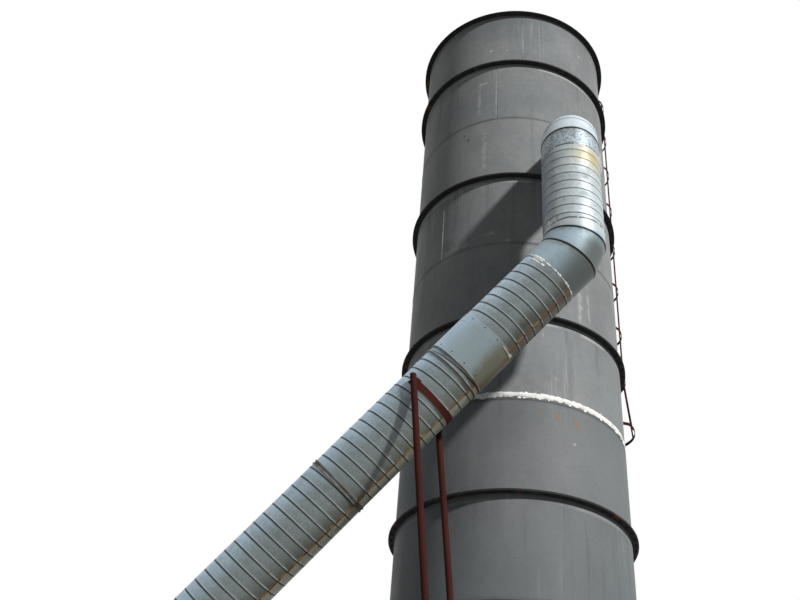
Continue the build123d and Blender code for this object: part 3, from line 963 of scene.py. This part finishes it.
def plates(boxes: list[tuple[Vector, Vector]], finish: Finish, matrix: Matrix) -> Mesh:
    """Make small bevelled plates.

    Args:
        boxes: centre and full size of each, in the frame that the matrix places.
        finish: their finish.
        matrix: where that frame lies.

    Returns:
        One mesh.
    """
    vertices, faces = [], []
    for centre, size in boxes:
        first = len(vertices)
        for corner in range(8):
            sign = Vector([1 if corner >> axis & 1 else -1 for axis in range(3)])
            vertices.append(centre + Vector([s * d / 2 for s, d in zip(sign, size)]))
        for quad in ((0, 2, 3, 1), (4, 5, 7, 6), (0, 1, 5, 4), (2, 6, 7, 3), (0, 4, 6, 2), (1, 3, 7, 5)):
            faces.append([first + index for index in quad])
    mesh = bpy.data.meshes.new("plates")
    mesh.from_pydata(vertices, [], faces)
    mesh.materials.append(finish.material())
    holder = new_object("plates", mesh)
    bevel = holder.modifiers.new("edge", "BEVEL")
    bevel.width, bevel.segments = 0.0015, 2
    return plain_mesh(holder, matrix)


class Growth(NodeTree):
    """Something that one geometry tree grows about +Z. A bead is smooth, a bolt is not."""

    smooth: ClassVar[bool] = True

    def ground(self) -> Mesh:
        """Mesh that the tree starts from, empty unless the growth needs points."""
        return bpy.data.meshes.new("ground")

    def grow(self) -> Node:
        """Build the tree up to its last geometry. Each growth does this for itself."""
        raise NotImplementedError

    def mesh(self, finish: Finish, matrix: Matrix = Matrix.Identity(4)) -> Mesh:
        """Run the tree, whose named inputs are the growth's sizes.

        Args:
            finish: what the growth is finished in.
            matrix: where its axis lies.

        Returns:
            The plain mesh, in place.
        """
        self.tree = bpy.data.node_groups.new(type(self).__name__, "GeometryNodeTree")
        new_socket = self.tree.interface.new_socket
        new_socket(name="ground", in_out="INPUT", socket_type="NodeSocketGeometry")
        sockets = {
            size.name: new_socket(name=size.name, in_out="INPUT", socket_type="NodeSocketFloat")
            for size in fields(self) if size.type is float}
        new_socket(name="geometry", in_out="OUTPUT", socket_type="NodeSocketGeometry")
        self.given = self.add("NodeGroupInput").outputs
        smooth = self.add("GeometryNodeSetShadeSmooth", {"Geometry": self.grow(), "Shade Smooth": self.smooth})
        real = self.add("GeometryNodeRealizeInstances", {"Geometry": smooth})
        dressed = self.add("GeometryNodeSetMaterial", {"Geometry": real, "Material": finish.material()})
        self.add("NodeGroupOutput", {0: dressed})
        carrier = new_object("carrier", self.ground())
        modifier = carrier.modifiers.new("grow", "NODES")
        modifier.node_group = self.tree
        for name, socket in sockets.items():
            modifier[socket.identifier] = float(getattr(self, name))
        return plain_mesh(carrier, matrix)

    def lifted(self, geometry: Node) -> Node:
        """Turn what has grown about its axis and lift it to its start."""
        turn, rise = (self.add("ShaderNodeCombineXYZ", {2: self.given[name]}) for name in ("angle", "start"))
        return self.add("GeometryNodeTransform", {"Geometry": geometry, "Translation": rise, "Rotation": turn})

    def ring(self, radius: object, steps: int) -> Node:
        """Circle round the axis."""
        return self.add("GeometryNodeCurvePrimitiveCircle", {"Resolution": steps, "Radius": radius})

    def facing(self, axis: str, vector: object) -> Node:
        """Rotation that turns one axis along a vector."""
        return self.add("FunctionNodeAlignRotationToVector", {"Vector": vector}, axis=axis)

    def on_ring(self, count: int, thing: Node, inputs: dict) -> Node:
        """Set a thing on each point of the ring.

        Args:
            count: points of the ring.
            thing: what stands on them.
            inputs: more inputs of the node that sets it there.

        Returns:
            The last node.
        """
        ring = self.ring(self.given["radius"], count)
        points = self.add("GeometryNodeCurveToPoints", {"Curve": ring}, mode="EVALUATED")
        return self.lifted(self.add(
            "GeometryNodeInstanceOnPoints", {"Points": points, "Instance": thing, **inputs}))


class PathKind(Enum):
    """Curve that a bead follows."""

    SPIRAL = "spiral"
    RING = "ring"
    LINE = "line"


@dataclass
class Bead(Growth):
    """Rounded bead that follows a spiral, a ring or an upright line.

    Its sizes are metres. Half of its section stands out of the wall that it lies on.
    """

    kind: PathKind
    radius: float
    half_width: float
    half_height: float
    steps: int
    start: float = 0.0
    length: float = 0.0
    turns: float = 1.0
    angle: float = 0.0
    hand: Hand = Hand.RIGHT
    ragged: float = 0.0
    ragged_scale: float = 12.0
    seed: float = 0.0
    sides: int = 6

    def path(self) -> Node:
        """Draw the curve along the middle of the bead.

        Returns:
            The curve's node.
        """
        radius = self.given["radius"]
        if self.kind is PathKind.LINE:
            start = self.add("ShaderNodeCombineXYZ", {0: radius})
            end = self.add("ShaderNodeCombineXYZ", {0: radius, 2: self.given["length"]})
            line = self.add("GeometryNodeCurvePrimitiveLine", {"Start": start, "End": end})
            return self.add("GeometryNodeResampleCurve", {"Curve": line, "Count": self.steps})
        if self.kind is PathKind.SPIRAL:
            curve = self.add("GeometryNodeCurveSpiral", {
                "Resolution": self.steps, "Rotations": self.given["turns"], "Start Radius": radius,
                "End Radius": radius, "Height": self.given["length"], "Reverse": self.hand is Hand.RIGHT})
        else:
            curve = self.ring(radius, self.steps)
        return self.add("GeometryNodeSetCurveNormal", {"Curve": curve}, mode="Z_UP")

    def grow(self) -> Node:
        """Sweep the bead's section along its path.

        Returns:
            The last node.
        """
        noise = self.add("ShaderNodeTexNoise", {
            "Vector": self.add("GeometryNodeInputPosition"), "W": self.given["seed"],
            "Scale": self.given["ragged_scale"], "Detail": 3.0}, noise_dimensions="4D")
        centred = self.add(
            "ShaderNodeVectorMath", {0: noise.outputs["Color"], 1: (0.5, 0.5, 0.5)}, operation="SUBTRACT")
        shift = self.add("ShaderNodeVectorMath", {0: centred, "Scale": self.given["ragged"]}, operation="SCALE")
        path = self.add("GeometryNodeSetPosition", {"Geometry": self.path(), "Offset": shift})
        size = self.add("ShaderNodeCombineXYZ", {0: self.given["half_height"], 1: self.given["half_width"], 2: 1.0})
        section = self.add("GeometryNodeTransform", {"Geometry": self.ring(1.0, self.sides), "Scale": size})
        return self.lifted(self.add(
            "GeometryNodeCurveToMesh", {"Curve": path, "Profile Curve": section, "Fill Caps": True}))


@dataclass
class Weld(Growth):
    """Round weld that runs through a closed loop of points."""

    points: list[Vector]
    thickness: float
    sides: int = 8

    def ground(self) -> Mesh:
        """Draw the loop as edges.

        Returns:
            Its mesh.
        """
        mesh = bpy.data.meshes.new("loop")
        count = len(self.points)
        mesh.from_pydata(self.points, [(n, (n + 1) % count) for n in range(count)], [])
        return mesh

    def grow(self) -> Node:
        """Sweep a round section along the loop.

        Returns:
            The last node.
        """
        loop = self.add("GeometryNodeMeshToCurve", {"Mesh": self.given["ground"]})
        section = self.ring(self.given["thickness"], self.sides)
        return self.add("GeometryNodeCurveToMesh", {"Curve": loop, "Profile Curve": section})


@dataclass
class Bolts(Growth):
    """Bolt heads at chosen places, each with the direction that it points in."""

    smooth: ClassVar[bool] = False
    places: list[tuple[Vector, Vector]]
    head_radius: float
    head_height: float
    sides: int = 6

    def ground(self) -> Mesh:
        """Set out the places as points that know their direction.

        Returns:
            Their mesh.
        """
        mesh = bpy.data.meshes.new("places")
        mesh.from_pydata([place for place, _ in self.places], [], [])
        facing = mesh.attributes.new("facing", "FLOAT_VECTOR", "POINT")
        for number, (_, direction) in enumerate(self.places):
            facing.data[number].vector = direction
        return mesh

    def grow(self) -> Node:
        """Set a head on every point.

        Returns:
            The last node.
        """
        points = self.add("GeometryNodeMeshToPoints", {"Mesh": self.given["ground"]})
        head = self.add("GeometryNodeMeshCylinder", {
            "Vertices": self.sides, "Radius": self.given["head_radius"], "Depth": self.given["head_height"]})
        way = self.add("GeometryNodeInputNamedAttribute", {"Name": "facing"}, data_type="FLOAT_VECTOR")
        return self.add("GeometryNodeInstanceOnPoints", {
            "Points": points, "Instance": head, "Rotation": self.facing("Z", way)})


@dataclass
class Blobs(Growth):
    """Dabs of mastic scattered round a ring, or round its part within reach of an angle in radians.

    Flatness, width and height are their sizes out of the wall, round it and along it, as shares of a random size.
    """

    radius: float
    start: float
    count: int
    share: float
    smallest: float
    largest: float
    seed: int
    flatness: float
    width: float = 1.4
    height: float = 0.9
    centre: float = 0.0
    reach: float = 0.0
    angle: float = 0.0

    def grow(self) -> Node:
        """Set flattened dabs on some of the ring's points.

        Returns:
            The last node.
        """
        place = self.add("GeometryNodeInputPosition")
        share = Value(self, self.given["share"])
        if self.reach:
            x, y, _ = (Value(self, axis) for axis in self.add("ShaderNodeSeparateXYZ", {0: place}).outputs)
            share = share * y.bearing(x).near(self.given["centre"], self.given["reach"])
        chosen = self.add(
            "FunctionNodeRandomValue", {"Probability": share, "Seed": self.seed}, data_type="BOOLEAN")
        scale = self.add("FunctionNodeRandomValue", {
            2: self.given["smallest"], 3: self.given["largest"], "Seed": self.seed + 1}, data_type="FLOAT")
        shape = self.add("ShaderNodeCombineXYZ", {
            n: self.given[name] for n, name in enumerate(("flatness", "width", "height"))})
        size = self.add("ShaderNodeVectorMath", {0: shape, "Scale": scale.outputs[1]}, operation="SCALE")
        ball = self.add("GeometryNodeMeshIcoSphere", {"Radius": 1.0, "Subdivisions": 2})
        return self.on_ring(self.count, ball, {
            "Selection": chosen.outputs[3], "Rotation": self.facing("X", place), "Scale": size})


@dataclass
class BoltRing(Growth):
    """Bolt heads with washers round a ring, along its axis or pointing out from it."""

    smooth: ClassVar[bool] = False
    radius: float
    start: float
    count: int
    head_radius: float
    head_height: float
    angle: float
    outwards: bool = False
    sides: int = 6
    washer_sides: int = 12
    washer_width: float = 1.45
    washer_height: float = 0.3

    def grow(self) -> Node:
        """Set a head and a washer at every point of the ring.

        Returns:
            The last node.
        """
        radius, height, wider, thinner = (Value(self, self.given[name]) for name in (
            "head_radius", "head_height", "washer_width", "washer_height"))
        bolt = self.add("GeometryNodeJoinGeometry")
        for sides, wide, deep in (
                (self.sides, radius, height),
                (self.washer_sides, radius * wider, height * thinner)):
            self.feed(bolt.inputs[0], self.add(
                "GeometryNodeMeshCylinder", {"Vertices": sides, "Radius": wide, "Depth": deep}))
        place = self.add("GeometryNodeInputPosition")
        return self.on_ring(self.count, bolt, {"Rotation": self.facing("Z", place)} if self.outwards else {})


# Sub-assemblies

@dataclass
class SubAssembly:
    """Part of the object that paints its CAD nodes and adds pieces to them."""

    nodes: dict[str, bpy.types.Object]

    def dress(self) -> None:
        """Paint the CAD nodes and add every detail."""
        raise NotImplementedError

    def paint(self, finish: Finish, *names: str) -> None:
        """Give CAD nodes one finish.

        Args:
            finish: the finish.
            names: the nodes.
        """
        for name in names:
            materials = self.nodes[name].data.materials
            materials.clear()
            materials.append(finish.material())

    def piece(self, name: str, meshes: list[Mesh], slot: str, *replaced: str) -> None:
        """Join meshes into one piece that rides on the tower.

        Args:
            name: the piece's name.
            meshes: its parts, each with its material.
            slot: not used.
            replaced: CAD nodes that it stands for.
        """
        parts = [new_object(name, mesh) for mesh in meshes]
        if len(parts) > 1:
            with bpy.context.temp_override(
                    active_object=parts[0], selected_objects=parts, selected_editable_objects=parts):
                bpy.ops.object.join()
        whole = parts[0]
        whole.name = name
        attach(whole, BODY)
        if replaced:
            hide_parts(*replaced)
        LOG.info("piece %s: %d faces", name, len(whole.data.polygons))


@dataclass
class Tower(SubAssembly):
    """Shell of flanged cans, with its welds, bolts and the mastic bead."""

    cans: int = 7
    weld_width: float = 0.007
    weld_height: float = 0.003
    weld_ragged: float = 0.004
    weld_clear: float = 0.02
    bolts: int = 56
    bolt_circle: float = 1.494
    bolt_face: float = 0.017
    bolt_turn: float = 0.05
    bead_height: float = 8.784
    seam_angles: tuple[float, ...] = (
        -150.0, -35.0, -98.0, -170.0, -140.0, -20.0, -172.0, -95.0, -50.0, -116.6, -38.0, -83.0, -67.7)

    def dress(self) -> None:
        """Paint the CAD nodes and add every detail."""
        for finish, start, others in (
                (ShellPaint(), "can_", ("roof", "floor_plate")), (FlangePaint(), "flange_", ("base_ring", "top_ring"))):
            self.paint(finish, *(name for name in self.nodes if name.startswith(start)), *others)
        self.weld_courses()
        self.bolt_flanges()
        self.lay_bead()

    def weld(self, kind: PathKind, **sizes: float) -> Mesh:
        """Lay one weld on the shell."""
        bead = Bead(kind, TOWER_RADIUS, self.weld_width, self.weld_height, ragged=self.weld_ragged, **sizes)
        return bead.mesh(ShellPaint())

    def weld_courses(self) -> None:
        """Add the girth weld of each can and the upright welds of each course."""
        welds = [
            self.weld(PathKind.RING, start=CAN_HEIGHT * (can + 0.5), steps=240, seed=can)
            for can in range(self.cans - 1)]
        half = CAN_HEIGHT / 2
        for course, angle in enumerate(self.seam_angles):
            low = max(course * half, self.weld_clear) + self.weld_clear
            high = min((course + 1) * half, TOWER_HEIGHT) - self.weld_clear
            for turn in (0.0, 180.0):
                welds.append(self.weld(
                    PathKind.LINE, start=low, length=high - low, angle=math.radians(angle + turn), steps=40,
                    seed=course + turn))
        self.piece("shell_welds", welds, "shell_paint")

    def bolt_flanges(self) -> None:
        """Add the bolt heads over and under each joint."""
        heads = [
            BoltRing(
                self.bolt_circle, CAN_HEIGHT * joint + side, self.bolts, head_radius=0.013, head_height=0.010,
                angle=self.bolt_turn * joint)
            for joint in range(1, self.cans) for side in (self.bolt_face, -self.bolt_face)]
        self.piece("flange_bolts", [head.mesh(FlangePaint()) for head in heads], "flange_paint")

    def lay_bead(self) -> None:
        """Lay the white mastic bead, and the smears along its edges."""
        radius = TOWER_RADIUS + 0.0005
        bead = Bead(
            PathKind.RING, radius, half_width=0.029, half_height=0.0060, start=self.bead_height - 0.004, steps=700,
            ragged=0.022, ragged_scale=8.0, seed=3.0, sides=12)
        smears = [
            Blobs(radius, self.bead_height - drop, 330, share, small, large, seed, flatness=0.15)
            for seed, drop, share, small, large in (
                (5, 0.028, 0.60, 0.010, 0.026), (6, 0.048, 0.22, 0.006, 0.020), (7, -0.022, 0.35, 0.008, 0.018))]
        self.piece("seal_bead_mastic", [part.mesh(Mastic()) for part in (bead, *smears)], "mastic", "seal_bead")


@dataclass
class SpiralDuct(SubAssembly):
    """Straight lengths of spiral duct with their lock seams, and the gored elbows between them."""

    seam_width: float = 0.0042
    seam_height: float = 0.0032
    sleeve_radius: float = DUCT_RADIUS + 0.0083
    screws: int = 12
    clamp_at: float = 1.518
    dabs: int = 150
    mastic_at: float = 0.462
    weld_steps: int = 96
    runs: dict[str, Galvanised] = field(default_factory=lambda: {
        "vertical_duct": Galvanised("riser_zinc", RISER_SEAM, yellow_stain=0.80, metal=0.17, gloss=0.2),
        "inlet_run": Galvanised("inlet_zinc", INLET_SEAM),
        # Its tones paint a brighter sky reflection on top and darker shade underneath.
        "upper_slope_duct": Galvanised(
            "upper_zinc", UPPER_SEAM, True, ZincTones((0.60, 0.75, 0.87), under=(0.09, 0.09, 0.072)), 0.55, 0.85,
            beyond_line=(0.10, 0.10, 0.07)),
        "middle_slope_duct": Galvanised("middle_zinc", MIDDLE_SEAM, True, rust_line=0.85),
        "lower_slope_duct": Galvanised("lower_zinc", LOWER_SEAM, True, rust_line=0.95),
    })
    elbows: dict[str, GoreZinc] = field(default_factory=lambda: {
        "top_elbow": GoreZinc("top_gores", TOP_ELBOW, True, (0.52, 0.60, 0.66), (0.60, 0.67, 0.70), dark_mitres=1),
        "lower_elbow": GoreZinc("lower_gores", LOWER_ELBOW, painted_shade=1.0, collar_above=10.215),
    })

    def dress(self) -> None:
        """Paint the CAD nodes and add every detail."""
        for name, finish in (*self.runs.items(), *self.elbows.items()):
            self.paint(finish, name)
        self.paint(SleeveZinc(), "sleeve")
        self.paint(RustySteel("rib_steel", (0.19, 0.215, 0.215), 0.9, 0.12), "sleeve_rib", "clamp_rib", "end_flange")
        self.paint(RustySteel(), "coupling")
        for name, finish in self.runs.items():
            self.lay_seam(name, finish.run)
        self.lap_gores()
        self.seal_joints()
        self.fix_sleeve()
        self.weld_inlet()

    def lay_seam(self, name: str, run: SeamRun) -> None:
        """Raise the spiral lock seam of one length.

        Args:
            name: the length's node.
            run: where the seam goes.
        """
        length = run.end - run.start
        seam = Bead(
            PathKind.SPIRAL, DUCT_RADIUS, self.seam_width, self.seam_height, start=run.start, length=length,
            turns=length / run.pitch, angle=run.start_angle, hand=run.hand, steps=72)
        self.piece(f"{name}_seam", [seam.mesh(SeamZinc(), run.axis.matrix)], "galvanised_duct")

    def lap_gores(self) -> None:
        """Raise the lap seam between each two gores."""
        lap = Bead(
            PathKind.RING, DUCT_RADIUS - 0.0003, half_width=0.0045, half_height=0.0034, start=0.003, steps=120)
        zinc = SeamZinc("lap_zinc", (0.40, 0.42, 0.39), (0.34, 0.35, 0.32))
        places = [place for finish in self.elbows.values() for place in finish.elbow.seam_matrices()]
        self.piece("gore_laps", [lap.mesh(zinc, place) for place in places], "galvanised_gores")

    def seal_joints(self) -> None:
        """Add the broken lines of mastic at both ends of the riser and below the lower elbow."""
        radius, sealed = DUCT_RADIUS + 0.0002, []
        for axis, place, seed, share in (
                (RISER, 10.352, 3, 0.10), (RISER, 11.607, 8, 0.05), (SLOPE, self.mastic_at, 5, 0.5)):
            dabs = Blobs(radius, place, self.dabs, share, smallest=0.004, largest=0.017, seed=seed, flatness=0.21)
            sealed.append(dabs.mesh(Mastic(), axis.matrix))
        for place, seed in ((0.452, 21), (0.474, 22), (0.510, 23)):
            dabs = Blobs(
                radius, place, self.dabs, share=0.9, smallest=0.006, largest=0.020, seed=seed, flatness=0.17,
                centre=0.02, reach=0.42)
            sealed.append(dabs.mesh(Mastic(), SLOPE.matrix))
        line = Bead(
            PathKind.RING, DUCT_RADIUS, half_width=0.005, half_height=0.0035, start=self.mastic_at, steps=240,
            ragged=0.020, seed=2.0)
        self.piece("joint_mastic", [*sealed, line.mesh(Mastic(), SLOPE.matrix)], "mastic")

    def fix_sleeve(self) -> None:
        """Add the sleeve's screws, and the tab of its clamp: four short bands and two lugs."""
        dark = ZincFastener("sleeve_screw_zinc", (0.07, 0.075, 0.075))
        screws = [
            BoltRing(
                self.sleeve_radius, place, self.screws, head_radius=0.0065, head_height=0.006, angle=turn,
                outwards=True, sides=10)
            for place, turn in ((1.525, 0.16), (1.985, 0.36))]
        self.piece("sleeve_screws", [ring.mesh(dark, SLOPE.matrix) for ring in screws], "galvanised_sleeve")
        steel = RustySteel("tab_steel", (0.50, 0.49, 0.42), 0.35)
        band = [(Vector((self.sleeve_radius + 0.0012, 0.0, self.clamp_at)), Vector((0.004, 0.062, 0.024)))]
        lugs = [
            (Vector((self.sleeve_radius + 0.012, side, self.clamp_at)), Vector((0.028, 0.004, 0.030)))
            for side in (-0.012, 0.012)]
        tab = [
            plates(boxes, steel, SLOPE.matrix @ Matrix.Rotation(math.radians(angle), 4, "Z"))
            for boxes, angle in ((band, -97.0), (band, -88.0), (band, -79.0), (band, -70.0), (lugs, -92.0))]
        self.piece("sleeve_clamp_tab", tab, "galvanised_sleeve")

    def weld_inlet(self) -> None:
        """Weld the inlet all round where it meets the shell."""
        weld = Weld([entry_point(INLET, 360.0 * step / self.weld_steps) for step in range(self.weld_steps)], 0.010)
        self.piece("inlet_weld", [weld.mesh(ShellPaint())], "shell_paint")


def entry_point(axis: DuctAxis, angle: float) -> Vector:
    """Find where one line of a duct's wall enters the shell.

    Args:
        axis: the duct's axis.
        angle: degrees round it.

    Returns:
        The point on the shell.
    """
    start = axis.point(0.0, angle, DUCT_RADIUS)
    flat, way = start.xy, axis.along.xy
    half = flat.dot(way)
    reach = math.sqrt(half * half - way.length_squared * (flat.length_squared - TOWER_RADIUS ** 2))
    return start + axis.along * ((-half - reach) / way.length_squared)


@dataclass
class Supports(SubAssembly):
    """Saddle strap, its posts and their base plates."""

    saddle_at: float = 2.520
    bolt_face: float = 0.454
    bolt_spread: float = 0.030
    anchor_circle: float = 0.125
    anchors: int = 4

    def dress(self) -> None:
        """Paint the CAD nodes and add bolts."""
        feet = ("near_base_plate", "far_base_plate")
        self.paint(RedPrimer(), "near_post", "far_post", *feet)
        self.paint(RedPrimer("saddle_primer", (0.060, 0.015, 0.012), (0.125, 0.032, 0.026)), "saddle_strap")
        heads = []
        for low, high in map(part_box, feet):
            middle = (low + high) / 2
            ring = BoltRing(
                self.anchor_circle, high.z + 0.005, self.anchors, head_radius=0.015, head_height=0.012,
                angle=math.radians(45.0))
            heads.append(ring.mesh(ZincFastener(), Matrix.Translation((middle.x, middle.y, 0))))
        self.piece("anchor_bolts", heads, "red_primer")
        self.piece("saddle_bolts", [self.saddle_bolts().mesh(RedPrimer())], "red_primer")

    def saddle_bolts(self) -> Bolts:
        """Set out two bolts through each post into the saddle's ear.

        Returns:
            The bolts.
        """
        middle = SLOPE.point(self.saddle_at, 0.0, 0.0)
        places = [
            (middle + Vector((0, side, 0)) * self.bolt_face + UP * step, Vector((0, side, 0)))
            for side in (-1, 1) for step in (-self.bolt_spread, self.bolt_spread)]
        return Bolts(places, head_radius=0.013, head_height=0.012)


@dataclass
class CagedLadder(SubAssembly):
    """Ladder, its cage, its rails above the roof and its brackets."""

    plan_angle: float = 64.0
    cage_centre: float = 2.035
    rivet_circle: float = 0.3567
    hoop_middle: float = 10.025
    hoop_spacing: float = 0.8925
    hoops: int = 8
    strap_angle: float = 37.5

    def dress(self) -> None:
        """Paint the CAD nodes and rivet the straps to the hoops."""
        self.paint(RedPrimer(), "ladder", "grab_rails", "cage_hoops", "cage_straps", "ladder_brackets")
        turn = Matrix.Rotation(math.radians(self.plan_angle), 4, "Z")
        self.piece("cage_rivets", [self.rivets().mesh(RedPrimer(), turn)], "red_primer")

    def rivets(self) -> Bolts:
        """Set out one head where each strap crosses each hoop above the lowest.

        Returns:
            The heads.
        """
        places = []
        for strap in range(-2, 3):
            turn = math.radians(self.strap_angle * strap)
            outwards = Vector((math.cos(turn), math.sin(turn), 0))
            for hoop in range(1, self.hoops + 1):
                middle = Vector((self.cage_centre, 0, self.hoop_middle + self.hoop_spacing * hoop))
                places.append((middle + outwards * self.rivet_circle, -outwards))
        return Bolts(places, head_radius=0.010, head_height=0.006)


@dataclass(frozen=True)
class Lamp:
    """Far light: where it shines from in degrees from +X and above the floor, its strength and its width."""

    name: str
    azimuth: float
    elevation: float
    strength: float
    softness: float

    def light(self) -> None:
        """Add the light."""
        light = bpy.data.lights.new(self.name, "SUN")
        light.energy = self.strength
        light.angle = math.radians(self.softness)
        turn, rise = math.radians(self.azimuth), math.radians(self.elevation)
        toward = Vector((math.cos(rise) * math.cos(turn), math.cos(rise) * math.sin(turn), math.sin(rise)))
        lamp = new_object(self.name, light)
        lamp.rotation_mode = "QUATERNION"
        lamp.rotation_quaternion = toward.to_track_quat("Z", "Y")


@dataclass
class Studio:
    """Floor, backdrop, lights and the photograph's camera."""

    camera_place: Triple = (3.2271, -11.4407, 1.956)
    azimuth: float = 23.672
    pitch: float = 38.09
    roll: float = -4.98
    focal_pixels: float = 1029.7
    image_width: float = 800.0
    sensor_width: float = 36.0
    lamps: tuple[Lamp, ...] = (Lamp("key", -27.0, 33.0, 3.9, 4.0), Lamp("back", 108.0, 38.0, 1.3, 25.0))
    fill: float = 0.12
    fill_colour: Triple = (0.90, 0.95, 1.0)
    half_floor: float = 120.0

    def build(self) -> None:
        """Make all of it."""
        self.make_floor()
        self.make_world()
        for lamp in self.lamps:
            lamp.light()
        self.make_camera()
        bpy.context.scene.view_settings.view_transform = "Standard"

    def make_floor(self) -> None:
        """Lay a wide pale floor."""
        half = self.half_floor
        mesh = bpy.data.meshes.new("floor")
        mesh.from_pydata([(-half, -half, 0), (half, -half, 0), (half, half, 0), (-half, half, 0)], [], [(0, 1, 2, 3)])
        mesh.materials.append(StudioFloor().material())
        new_object("floor", mesh)

    def make_world(self) -> None:
        """White where it is seen or reflected, and a soft fill elsewhere."""
        world = bpy.data.worlds.new("studio")
        world.use_nodes = True
        bpy.context.scene.world = world
        nodes = NodeTree(world.node_tree)
        nodes.tree.nodes.clear()
        seen = seen_directly(nodes)
        soft, white = (
            nodes.add("ShaderNodeBackground", {"Color": (*colour, 1.0), "Strength": strength})
            for colour, strength in ((self.fill_colour, self.fill), ((1.0, 1.0, 1.0), 1.0)))
        both = nodes.add("ShaderNodeMixShader", {0: seen, 1: soft, 2: white})
        nodes.add("ShaderNodeOutputWorld", {"Surface": both})

    def make_camera(self) -> None:
        """Stand where the photograph was taken."""
        pitch, roll, azimuth = (math.radians(a) for a in (self.pitch, self.roll, self.azimuth))
        forward = Vector((0, math.cos(pitch), math.sin(pitch)))
        level, upright = Vector((1, 0, 0)), Vector((0, -math.sin(pitch), math.cos(pitch)))
        right = level * math.cos(roll) - upright * math.sin(roll)
        up = level * math.sin(roll) + upright * math.cos(roll)
        turn = Matrix.Rotation(azimuth, 3, "Z")
        data = bpy.data.cameras.new("camera")
        data.sensor_width = self.sensor_width
        data.lens = self.focal_pixels / self.image_width * data.sensor_width
        camera = new_object("camera", data)
        camera.matrix_world = placed_axes(Vector(self.camera_place), turn @ right, turn @ up, -(turn @ forward))
        bpy.context.scene.camera = camera


def main() -> None:
    """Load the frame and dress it."""
    logging.basicConfig(level=logging.INFO, format="%(message)s")
    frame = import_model()
    for part in (Tower, SpiralDuct, Supports, CagedLadder):
        part(frame["nodes"]).dress()
        LOG.info("dressed %s", part.__name__)
    Studio().build()


if __name__ == "__main__":
    main()
